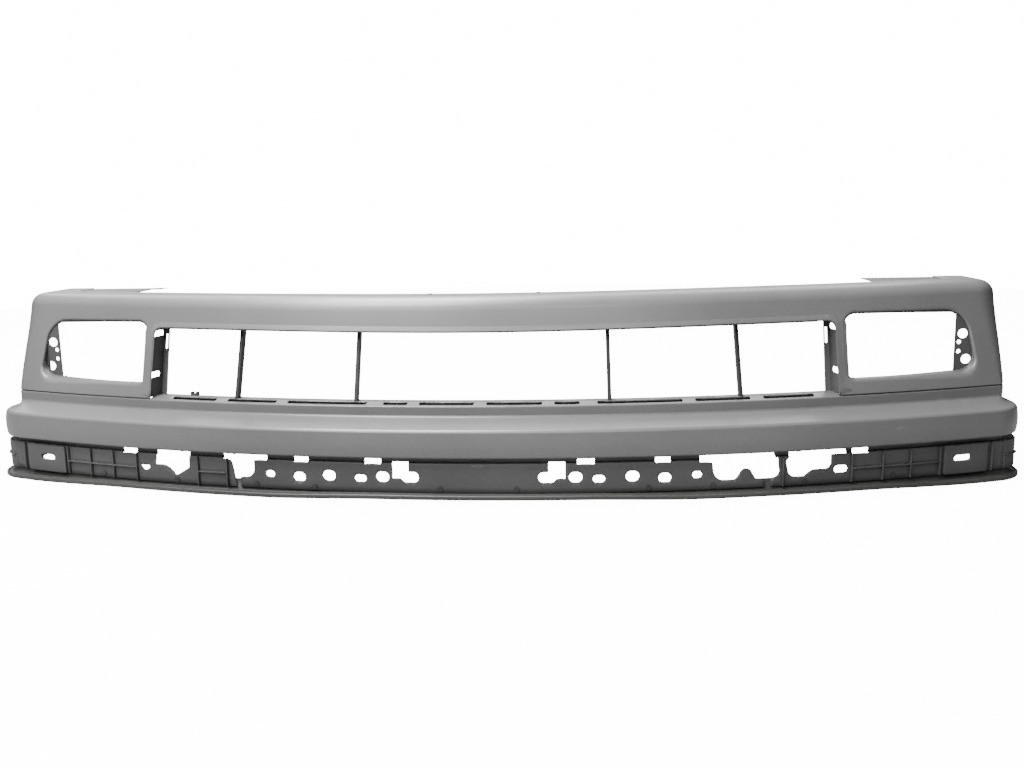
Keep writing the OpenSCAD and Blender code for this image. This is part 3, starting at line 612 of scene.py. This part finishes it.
def build_fascia():
    surface = Surface()
    grille = grille_edge()
    grille_r = [ROLL_R] * len(grille)
    lamps = [lamp_edge(side) for side in (-1, 1)]
    lamp_radii, lamp_depths = [], []
    for lamp in lamps:
        low = [smooth((LAMP_LOW + 34 - q.y) / 34) for q in lamp]
        outer = [smooth((abs(q.x) - LAMP_IN - 60) / (LAMP_OUT - LAMP_IN - 60)) for q in lamp]
        lamp_radii.append([LAMP_ROLL_R + LAMP_ROLL_R * a * b for a, b in zip(low, outer)])
        lamp_depths.append([LAMP_ROLL_DEPTH + LAMP_DEEPER * a * (0.5 + 0.9 * b) for a, b in zip(low, outer)])
    places = columns(COLUMN_STEP)
    corner = side_end(LAP_FOOT)
    foot = [Vector((p, LAP_FOOT)) for p in places if GRILLE_W + 8 < p < corner - 4]
    foot.append(Vector((corner, LAP_FOOT)))
    head = [Vector((p, TOP_END)) for p in reversed(places)]
    rows = list(np.linspace(LAP_FOOT, LAP_HEAD, 4)) + [SEAM_Z - 2, SEAM_Z, SEAM_Z + 1.5]
    rows += list(np.linspace(FACE_FROM, SHOULDER_LOW_Z, 20))
    rows += list(np.linspace(SHOULDER_LOW_Z, ARC_END, 12))[1:] + list(np.linspace(ARC_END, TOP_END, 6))[1:]
    edge = pushed(grille, grille_r, closed=False)
    edge = [Vector((q.x, max(q.y, LAP_FOOT))) for q in edge]
    outer = list(reversed(edge))
    inner_rows = rows[1:-1]
    side = [Vector((side_end(v), v)) for v in rows[:-1]]
    outside = (outer + foot[:-1] + side + head + [Vector((-q.x, q.y)) for q in reversed(side)]
               + [Vector((-q.x, q.y)) for q in reversed(foot[:-1])])
    holes = [pushed(lamp, [-r for r in radii]) for lamp, radii in zip(lamps, lamp_radii)]
    fill = [(p, v) for p in places[1:-1] for v in inner_rows]
    ids = surface.sheet([outside] + holes, fill, fascia_point, 6.5)
    ring = list(reversed(ids[0][:len(outer)]))
    rolled_edge(surface, ring, grille, grille_r, [ROLL_DEPTH] * len(grille), fascia_point, False)
    for ring, lamp, radii, depths in zip(ids[1:], lamps, lamp_radii, lamp_depths):
        rolled_edge(surface, ring, lamp, radii, depths, fascia_point, True)
    return surface.build("upper_fascia_shell", "upper_fascia", MATERIALS["fascia_plastic"], SHEET_WALL)


# ---- bumper bar --------------------------------------------------------------------
def bar_section():
    """The bar's outer side as (out, z), from the return under it up to the neck's top."""
    face_low, face_high = BAR_LOW_Z, BAR_HIGH_Z
    path = [Vector((BAR_OUT - 27, face_low)), Vector((BAR_OUT - 14, face_low))]
    path += arc_corner((BAR_OUT - 14, face_low), (BAR_OUT - 1.5, face_low), (BAR_OUT, face_low + 20), 4.5, 15)
    path += [Vector((BAR_OUT + 0.2, face_low + 14)), Vector((BAR_OUT + 0.3, face_low + 22)),
             Vector((BAR_OUT - 0.1, face_low + 30))]
    path += arc_corner((BAR_OUT - 0.3, face_low + 32), (BAR_OUT - 2.5, face_high), (0, SHELF_Z), 7, 10)
    path += [Vector((mix(40, 7, t), mix(face_high + 1.1, SHELF_Z - 2.2, t))) for t in (0.15, 0.5, 0.85)]
    path += arc_corner((20, face_high + 6), (0, SHELF_Z), (0, SEAM_Z), 5, 15)
    path += [Vector((0, mix(SHELF_Z, SEAM_Z, 0.6)))]
    return path + arc_corner((0, SHELF_Z + 4), (0, SEAM_Z), (-20, SEAM_Z), 2, 22)


def bar_line(out, z):
    """Round the corner the bar's own radius gives way to the neck's over the shelf."""
    if z < BAR_HIGH_Z - 2 and out > 10:
        return out, z, HALF_W + out - BAR_OUT, BAR_R + out - BAR_OUT
    t = min(1.0, max(0.0, (BAR_OUT - 7 - out) / (BAR_OUT - 7)))
    wide, narrow = HALF_W + min(out, BAR_OUT) - BAR_OUT, FASCIA_W + min(out, 0)
    return (out, z, mix(wide, narrow, t) if out > 0 else narrow,
            mix(BAR_R + out - BAR_OUT, CORNER_LOW_R, t) if out > 0 else CORNER_LOW_R + out)


LEDGE_W = 574
LEDGE_DROP = 14


def ledge_point(x, back):
    """A place on the ledge: back is the way from the neck's top over the ledge and down its rear edge."""
    turn_at = LEDGE_DEPTH - 1.5
    drop = max(0.0, back - turn_at)
    flat = min(back, turn_at) + 1.5 * smooth(drop / 3)
    z = SEAM_Z + LEDGE_RISE * smooth((flat - 3) / 22) - max(0.0, drop - 1.0)
    radius = BOW_R - flat
    a = math.asin(x / radius)
    return Vector((x, BOW_Y - radius * math.cos(a), z))


def build_bar():
    surface = Surface()
    section = bar_section()
    places = columns(COLUMN_STEP, extra=(LEDGE_W,))
    surface.grid([[line_point(bar_line(q.x, q.y), p) for p in places] for q in section])
    start = -section[-1].x
    end = LEDGE_DEPTH + LEDGE_DROP
    on_ledge = [p for p in places if abs(p) <= LEDGE_W + 0.01]
    rows = [start, 5, 7, 14.5, 22, 25, 30, 35]
    rows += [LEDGE_DEPTH + d for d in (-2, -0.8, 1, 6)] + [end]
    outside = ([Vector((p, start)) for p in on_ledge] + [Vector((LEDGE_W, r)) for r in rows[1:-1]]
               + [Vector((p, end)) for p in reversed(on_ledge)]
               + [Vector((-LEDGE_W, r)) for r in reversed(rows[1:-1])])
    mid, deep = (SLOT_FRONT + SLOT_REAR) / 2, SLOT_REAR - SLOT_FRONT
    slots = [spread(box_outline(side * (a + b) / 2, mid, b - a, deep, SLOT_R), 10)
             for a, b in SLOTS for side in (-1, 1)]
    fill = [(p, r) for p in on_ledge[1:-1] for r in rows[1:-1]]
    surface.sheet([outside] + slots, fill, ledge_point, gap=1.5)
    return surface.build("bumper_bar_shell", "bumper_bar", MATERIALS["bar_plastic"], SHEET_WALL)


# ---- carriers ------------------------------------------------------------------------
CUT_TOP = 67.5
STRIP_HOLES = [(152, 39, 21, 17), (188, 36, 19, 12), (240, 39, 21, 17), (290, 35, 20, 16.5),
               (340, 38.5, 15, 11)]
CLIP_CUT = [(94, 30.5, 8), (118, 30.5, 8), (122, 37, 2), (136, 37, 1.5), (136, 63, 1.5), (110, 63, 1.5),
            (110, 47.5, 2), (94, 47.5, 8)]
WINDOWS = [(0, 23), (168, 27), (287, 24), (600, 27)]
END_HOLE = (773, 40, 31, 12)
NOTCH_LEFT = [(-424, CUT_TOP, 0), (-422, 60, 1), (-408, 59, 3), (-401, 16, 1), (-401, 10, 0), (-394, 10, 0),
              (-393, 31, 2), (-368, 31, 16), (-368, 60, 2), (-346, 60, 1), (-346, CUT_TOP, 0)]
CUT_LEFT = [(-548, CUT_TOP, 0), (-549, 44, 2), (-528, 43, 3), (-511, 27, 2), (-486, 42, 3),
            (-485, CUT_TOP, 0)]
CUT_RIGHT = [(344, CUT_TOP, 0), (344, 58, 2), (364, 57, 3), (367, 28, 18), (400, 27, 12), (412, 46, 4),
             (423, 44, 3), (432, 28, 8), (445, 25, 0), (445, 10, 0), (456, 10, 0), (456, 26, 0),
             (470, 33, 10), (467, 60, 6), (461, CUT_TOP, 0)]
LOBE_RIGHT = [(485, CUT_TOP, 0), (485, 60, 2), (480, 54, 2), (485, 29, 12), (508, 27, 10), (521, 38, 6),
              (552, 38, 10), (553, 61, 0), (577, 61, 2), (577, CUT_TOP, 0)]
SMALL_LEFT = [(-578, 41, 1), (-572, 31, 5), (-562, 36, 2), (-562, 41, 1)]


def anticlockwise(points):
    area = sum(a.x * b.y - b.x * a.y for a, b in zip(points, points[1:] + points[:1]))
    return points if area > 0 else list(reversed(points))


def lifted(points):
    """Heights above the carrier's small shelf move on by the shelf's own depth."""
    return [Vector((q.x, q.y + CARRIER_STEP if q.y > CARRIER_SHELF_Z + 0.3 else q.y)) for q in points]


def carrier_cuts(x0, x1):
    """Outlines of the holes whose middle lies between two X positions."""
    cuts = []
    for side in (-1, 1):
        cuts += [box_outline(side * x, 63.5, w, 8, 1.5) for x, w in WINDOWS]
        cuts += [stadium(side * x, z, w, h) for x, z, w, h in STRIP_HOLES]
        cuts.append(stadium(side * END_HOLE[0], *END_HOLE[1:]))
        cuts.append(rounded([(side * x, z, r) for x, z, r in CLIP_CUT]))
    cuts.append(stadium(568, 36.5, 22, 12))
    cuts += [rounded(c) for c in (NOTCH_LEFT, CUT_LEFT, CUT_RIGHT, LOBE_RIGHT, SMALL_LEFT)]
    wanted = []
    for cut in cuts:
        cut = anticlockwise(cut)
        xs = [q.x for q in cut]
        if x0 < max(xs) and min(xs) < x1:
            wanted.append(spread(lifted(cut), 6))
    return wanted


def carrier_line(w):
    """Line of the carrier's outer side at w: Z up the wall, in over the shelf, up, back along the flange."""
    out = CARRIER_OUT
    if w <= CARRIER_SHELF_Z:
        z = w
        out -= 1.2 * smooth((w - CARRIER_SHELF_Z + 1.6) / 1.6)
    elif w <= CARRIER_SHELF_Z + CARRIER_STEP:
        z = CARRIER_SHELF_Z
        out -= 1.2 + (w - CARRIER_SHELF_Z) / CARRIER_STEP * (CARRIER_STEP - 1.2)
    else:
        climb = w - CARRIER_SHELF_Z - CARRIER_STEP
        z = min(CARRIER_HIGH_Z, CARRIER_SHELF_Z + climb)
        out -= CARRIER_STEP + max(0.0, climb - (CARRIER_HIGH_Z - CARRIER_SHELF_Z))
    return out, z, CARRIER_W + out - CARRIER_OUT, CARRIER_R + out - CARRIER_OUT


def carrier_point(p, w):
    return line_point(carrier_line(w), p)


CARRIER_TOP_W = CARRIER_HIGH_Z + CARRIER_FLANGE


def bow_frame(x, out):
    """Middle of a place on the bow, and the directions along it and out of it."""
    a = math.asin(x / (BOW_R + out))
    along = Vector((math.cos(a), math.sin(a), 0))
    outward = Vector((math.sin(a), -math.cos(a), 0))
    base = Vector((x, BOW_Y - (BOW_R + out) * math.cos(a), 0))
    return base, along, outward


def prism(surface, corners, direction):
    """Closed prism: the corners, in order round one end, and the way to the other end."""
    first = surface.add(corners)
    second = surface.add([c + direction for c in corners])
    surface.bridge(second, first, closed=True)
    surface.faces += [tuple(first), tuple(reversed(second))]


def upright_rib(surface, x, z0, z1, depth=RIB_DEPTH, w=RIB_W):
    base, along, outward = bow_frame(x, CARRIER_OUT)
    section = [(-w / 2 - 0.3, -1.0), (w / 2 + 0.3, -1.0), (w / 2, depth - 0.5), (w / 2 - 0.5, depth),
               (0.5 - w / 2, depth), (-w / 2, depth - 0.5)]
    corners = [base + along * a + outward * b + Vector((0, 0, z0)) for a, b in section]
    prism(surface, corners, Vector((0, 0, z1 - z0)))


def level_rib(surface, places, z, depth=RIB_DEPTH, w=RIB_W):
    """Rib that runs along the carrier's face through the given places."""
    section = [(-1.0, -w / 2 - 0.3), (depth - 0.5, -w / 2), (depth, 0.5 - w / 2), (depth, w / 2 - 0.5),
               (depth - 0.5, w / 2), (-1.0, w / 2 + 0.3)]
    rows = []
    for p in places:
        rows.append([line_point((CARRIER_OUT + a, z + b, CARRIER_W + a, CARRIER_R + a), p)
                     for a, b in section])
    ids = surface.grid([list(reversed(row)) for row in rows], closed=True)
    surface.faces += [tuple(reversed(ids[0])), tuple(ids[-1])]


def raised_plate(surface, x0, x1, z0, z1, hole=None, depth=RIB_DEPTH):
    """Plate that stands off the carrier's face, with sloping sides and an optional hole through it."""
    def at(out):
        return lambda x, z: line_point((CARRIER_OUT + out, z, CARRIER_W + out, CARRIER_R + out), x)

    outline = spread(box_outline((x0 + x1) / 2, (z0 + z1) / 2, x1 - x0, z1 - z0, 2), 9)
    foot = pushed(outline, [-1.2] * len(outline))
    loops = [outline] + ([spread(hole, 6)] if hole else [])
    fill = [(x, z) for x in np.arange(x0 + 8, x1 - 4, 9) for z in (mix(z0, z1, t) for t in (0.25, 0.5, 0.75))]
    ids = surface.sheet(loops, fill, at(depth))
    soft = surface.add([at(depth - 0.8)(q.x, q.y) for q in pushed(outline, [-0.5] * len(outline))])
    low = surface.add([at(-0.5)(q.x, q.y) for q in foot])
    surface.bridge(soft, ids[0], closed=True)
    surface.bridge(low, soft, closed=True)
    if hole:
        path = loops[1]
        rim = surface.add([at(depth - 0.7)(q.x, q.y) for q in pushed(path, [0.6] * len(path))])
        tube = surface.add([at(-1.0)(q.x, q.y) for q in pushed(path, [0.9] * len(path))])
        surface.bridge(ids[1], rim, closed=True)
        surface.bridge(rim, tube, closed=True)


def carrier_sheet(x0, x1):
    """One carrier's wall between two X positions."""
    surface = Surface()
    step = 10
    xs = [x for x in np.arange(math.ceil(x0 / step) * step, x1, step) if min(x - x0, x1 - x) > 3]
    shelf = CARRIER_SHELF_Z
    rows = [22, 30, 38, 46, 54, shelf - 1.6, shelf - 0.6, shelf, shelf + 2.5, shelf + 5, shelf + 10,
            shelf + 14.5, shelf + 19]
    bottom = [Vector((x, CARRIER_LOW_Z)) for x in [x0] + xs + [x1]]
    top = [Vector((x, CARRIER_TOP_W)) for x in [x1] + list(reversed(xs)) + [x0]]
    outside = (bottom + [Vector((x1, r)) for r in rows] + top + [Vector((x0, r)) for r in reversed(rows)])
    fill = [(x, r) for x in xs for r in rows]
    surface.sheet([outside] + carrier_cuts(x0, x1), fill, carrier_point, gap=1.8)
    return surface


def build_carriers():
    grain = MATERIALS["carrier_plastic"]
    low, high = CARRIER_LOW_Z + 1, CARRIER_SHELF_Z - 0.6
    surface = carrier_sheet(SPLIT_LEFT + 1, SPLIT_RIGHT - 1)
    surface.build("carrier_center_wall", "carrier_center", grain, SHEET_WALL)

    left = carrier_sheet(-CARRIER_END, SPLIT_LEFT - 1)
    left.build("carrier_left_wall", "carrier_left", grain, SHEET_WALL)
    ribs = Surface()
    for x in (-585, -632, -679, -727, -415, -468, -825):
        upright_rib(ribs, x, low, high)
    level_rib(ribs, np.arange(-727, -584.9, 14.2), RIB_Z)
    level_rib(ribs, np.arange(-468, -414.9, 10.6), RIB_Z)
    raised_plate(ribs, -817, -735, low, high, stadium(-END_HOLE[0], *END_HOLE[1:]))
    ribs.build("carrier_left_ribs", "carrier_left", grain)

    right = carrier_sheet(SPLIT_RIGHT + 1, CARRIER_END)
    right.build("carrier_right_wall", "carrier_right", grain, SHEET_WALL)
    ribs = Surface()
    for x in (585, 636, 683, 733, 474, 825):
        upright_rib(ribs, x, low, high)
    level_rib(ribs, np.arange(585, 733.1, 14.8), RIB_Z)
    raised_plate(ribs, 741, 817, low, high, stadium(END_HOLE[0], *END_HOLE[1:]))
    ribs.build("carrier_right_ribs", "carrier_right", grain)

    for side, name in ((-1, "left"), (1, "right")):
        surface = Surface()
        places = [side * p for p in columns(COLUMN_STEP) if p > CARRIER_END + 1]
        places = sorted([side * (CARRIER_END + 1)] + places)
        shelf = CARRIER_SHELF_Z
        rows = [CARRIER_LOW_Z, 30, 46, shelf - 1.6, shelf - 0.6, shelf, shelf + 2.5, shelf + 5, shelf + 14.5,
                CARRIER_TOP_W]
        surface.grid([[carrier_point(p, w) for p in places] for w in rows])
        surface.build("carrier_end_" + name + "_wall", "carrier_end_" + name, grain, SHEET_WALL)
        ribs = Surface()
        corner = [p for p in places if CARRIER_END + 2 < abs(p) < WRAP_X + WRAP_LENGTH * CORNER_RIB_TO]
        level_rib(ribs, corner, RIB_Z, depth=CORNER_RIB_DEPTH)
        ribs.build("carrier_end_" + name + "_rib", "carrier_end_" + name, grain)


# ---- lip ---------------------------------------------------------------------------
def lip_lift(p):
    """The lip hangs lowest round the corners and highest at the middle."""
    x = abs(p)
    return 4.6 * (1 - smooth((x - 600) / 210)) + 3.6 * (1 - smooth((x - 160) / 190))


def build_lip():
    """Closed section as (out, z): the flange, the floor and the rounded bead at its edge."""
    flange_w, flange_r = CARRIER_W - WALL, CARRIER_R - WALL
    flange_out, bead_r = CARRIER_OUT - WALL, BAR_R - 10
    section = [("flange", 0, LIP_FLANGE_Z), ("flange", -3, LIP_FLANGE_Z), ("flange", -3, 3), ("bead", -5, 3),
               ("bead", -4.2, 0.8), ("bead", -3, 0), ("bead", -1.6, 0), ("bead", -0.4, 0.9), ("bead", 0, 2.4),
               ("bead", 0, 5.2), ("bead", -0.5, 6.8), ("bead", -1.6, 7.6), ("bead", -2.8, 7.4),
               ("bead", -3.8, 6.4), ("bead", -4.6, 5.2), ("bead", -7, 4.6), ("flange", 0, 5)]
    surface = Surface()
    rows = []
    for p in columns(COLUMN_STEP):
        row = []
        for kind, t, z in section:
            if kind == "flange":
                line = (flange_out + t, z, flange_w + t, flange_r + t)
            else:
                line = (LIP_OUT + t, z, HALF_W + t, bead_r + t)
            point = line_point(line, p)
            point.z += lip_lift(p) * (0.2 if z == LIP_FLANGE_Z else 1)
            row.append(point)
        rows.append(row)
    ids = surface.grid(rows, closed=True)
    surface.faces += [tuple(ids[0]), tuple(reversed(ids[-1]))]
    # The lip's near-black material is painted shade for the groove behind its bead
    return surface.build("valance_lip_strip", "valance_lip", MATERIALS["lip_rubber"])


# ---- corner flanges -------------------------------------------------------------------
FLANGE_IN = 665
FLANGE_OUT = 787
TAB_W = 26
TAB_D = 14
TAB_HOLE = 5
FLANGE_WALL = 2.3
FLANGE_LIFT = 0.6
TONGUE_OUT = 98


def build_corner_flanges():
    """Plate that passes under the top panel's rear edge and then lies level with the panel."""
    low, level = TOP_Z - WALL - 0.2, TOP_Z + FLANGE_LIFT
    for side, name in ((-1, "corner_flange_left"), (1, "corner_flange_right")):
        surface = Surface()
        rows = []
        for x in np.linspace(FLANGE_IN, FLANGE_OUT, 16):
            tongue, edge, lifted_at = (line_point((-out, low, FASCIA_W, CORNER_TOP_R), x).y
                                       for out in (TONGUE_OUT, TOP_REACH + 1, TOP_REACH + 5))
            stations = [(tongue, low), (edge, low), (mix(edge, lifted_at, 0.5), mix(low, level, 0.5)),
                        (lifted_at, level)]
            stations += [(mix(lifted_at, SIDE_BACK_Y, t), level) for t in (0.1, 0.4, 0.7, 0.97)]
            stations += [(SIDE_BACK_Y, level - 0.8)]
            rows.append([Vector((side * x, y, z)) for y, z in stations])
        surface.grid(rows if side < 0 else list(reversed(rows)))
        if side < 0:
            x0, x1, y0 = -FLANGE_IN, TAB_W - FLANGE_IN, SIDE_BACK_Y - TAB_D
            hole = spread(stadium(x0 + TAB_W / 2, y0 + TAB_D / 2, TAB_HOLE, TAB_HOLE + 0.02), 2)
            corners = [(x0, y0, 0), (x1, y0, 5), (x1, SIDE_BACK_Y, 5), (x0, SIDE_BACK_Y, 0)]
            tab = spread(rounded(corners), 4)
            surface.sheet([tab, hole], [(x0 + 4, SIDE_BACK_Y - 4)], lambda x, y: Vector((x, y, level)), 1)
        surface.build(name + "_plate", name, MATERIALS["flange_plastic"], FLANGE_WALL)


# ---- CAD pieces that keep their shape -------------------------------------------------
def dress(node, bevel):
    piece = frame["nodes"][node]
    material = MATERIALS[slot_of(node)]
    for i in range(len(piece.material_slots)):
        piece.material_slots[i].material = material
    weld = piece.modifiers.new("weld", "WELD")
    weld.merge_threshold = 0.01 * MM
    add_bevel(piece, bevel)
    normals = piece.modifiers.new("normals", "WEIGHTED_NORMAL")
    normals.weight = 60


# ---- stage -------------------------------------------------------------------------------
# Radius of the floor's disc, in metres
FLOOR_R = 4.2
# Brightness of the white that only the camera sees
FLOOR_GLOW = 14.0
ROOM_GLOW = 16.0
# Strength of the room's own light
ROOM_LIGHT = 0.06


def lit_for_camera(tree, shader, brightness, output, kind):
    """Mix that shows the camera a plain white glow of the given brightness on top of the shader."""
    rays = tree.nodes.new("ShaderNodeLightPath")
    strength = tree.nodes.new("ShaderNodeMath")
    strength.operation = "MULTIPLY"
    strength.inputs[1].default_value = brightness
    tree.links.new(rays.outputs["Is Camera Ray"], strength.inputs[0])
    glow = tree.nodes.new(kind)
    tree.links.new(strength.outputs["Value"], glow.inputs["Strength"])
    glow.inputs["Color"].default_value = (1, 1, 1, 1)
    both = tree.nodes.new("ShaderNodeAddShader")
    tree.links.new(shader, both.inputs[0])
    tree.links.new(glow.outputs[0], both.inputs[1])
    tree.links.new(both.outputs["Shader"], output.inputs["Surface"])


def build_floor():
    radius, sides = FLOOR_R, 96
    mesh = bpy.data.meshes.new("floor")
    angles = [2 * math.pi * i / sides for i in range(sides)]
    rim = [(radius * math.cos(a), radius * math.sin(a), 0) for a in angles]
    mesh.from_pydata(rim, [], [tuple(range(sides))])
    floor = bpy.data.objects.new("floor", mesh)
    bpy.context.scene.collection.objects.link(floor)
    material = bpy.data.materials.new("floor_paper")
    material.use_nodes = True
    tree = material.node_tree
    shader = tree.nodes["Principled BSDF"]
    shader.inputs["Base Color"].default_value = (0.22, 0.22, 0.22, 1)
    shader.inputs["Roughness"].default_value = 0.9
    shader.inputs["Specular IOR Level"].default_value = 0.1
    output = tree.nodes["Material Output"]
    lit_for_camera(tree, shader.outputs["BSDF"], FLOOR_GLOW, output, "ShaderNodeEmission")
    mesh.materials.append(material)


def area_light(name, place, target, size, power, tint=(1, 1, 1)):
    light = bpy.data.lights.new(name, "AREA")
    light.shape = "RECTANGLE"
    light.size, light.size_y = size
    light.energy = power
    light.color = tint
    lamp = bpy.data.objects.new(name, light)
    bpy.context.scene.collection.objects.link(lamp)
    lamp.location = place
    aim = Vector(target) - Vector(place)
    lamp.rotation_euler = aim.to_track_quat("-Z", "Y").to_euler()


def build_lights():
    area_light("rear_panel", (-0.5, 2.2, 2.2), (-0.2, -0.1, 0.1), (4.8, 2.3), 130)
    area_light("top_panel", (-0.8, -0.1, 2.7), (-0.25, -0.2, 0.0), (3.4, 1.0), 470)
    area_light("front_left", (-1.5, -2.9, 2.5), (-0.15, 0.0, 0.2), (2.0, 0.9), 128)
    area_light("front_right", (0.4, -2.9, 2.3), (0.1, 0.0, 0.15), (1.2, 0.8), 34)
    world = bpy.data.worlds.new("studio")
    bpy.context.scene.world = world
    world.use_nodes = True
    tree = world.node_tree
    room = tree.nodes["Background"]
    room.inputs["Color"].default_value = (0.95, 0.96, 0.97, 1)
    room.inputs["Strength"].default_value = ROOM_LIGHT
    output = tree.nodes["World Output"]
    lit_for_camera(tree, room.outputs["Background"], ROOM_GLOW, output, "ShaderNodeBackground")


def build_camera():
    yaw, pitch, roll = (math.radians(a) for a in (5.12, -10.0, 1.21))
    forward = Vector((-math.sin(yaw) * math.cos(pitch), math.cos(yaw) * math.cos(pitch), math.sin(pitch)))
    right = Vector((math.cos(yaw), math.sin(yaw), 0))
    right.rotate(Matrix.Rotation(roll, 3, forward))
    up = right.cross(forward)
    data = bpy.data.cameras.new("camera")
    data.lens = 35
    data.sensor_width = 36
    camera = bpy.data.objects.new("camera", data)
    bpy.context.scene.collection.objects.link(camera)
    turn = Matrix((right, up, -forward)).transposed()
    camera.matrix_world = Matrix.Translation((0.1902, -1.6761, 0.4518)) @ turn.to_4x4()
    bpy.context.scene.camera = camera


build_camera()
build_fascia()
build_bar()
build_carriers()
build_lip()
build_corner_flanges()
REPLACED = {"upper_fascia", "bumper_bar", "carrier_center", "carrier_left", "carrier_right",
            "carrier_end_left", "carrier_end_right", "valance_lip",
            "corner_flange_left", "corner_flange_right"}
for name in frame["nodes"]:
    if name not in REPLACED:
        dress(name, 0.35)
build_floor()
build_lights()
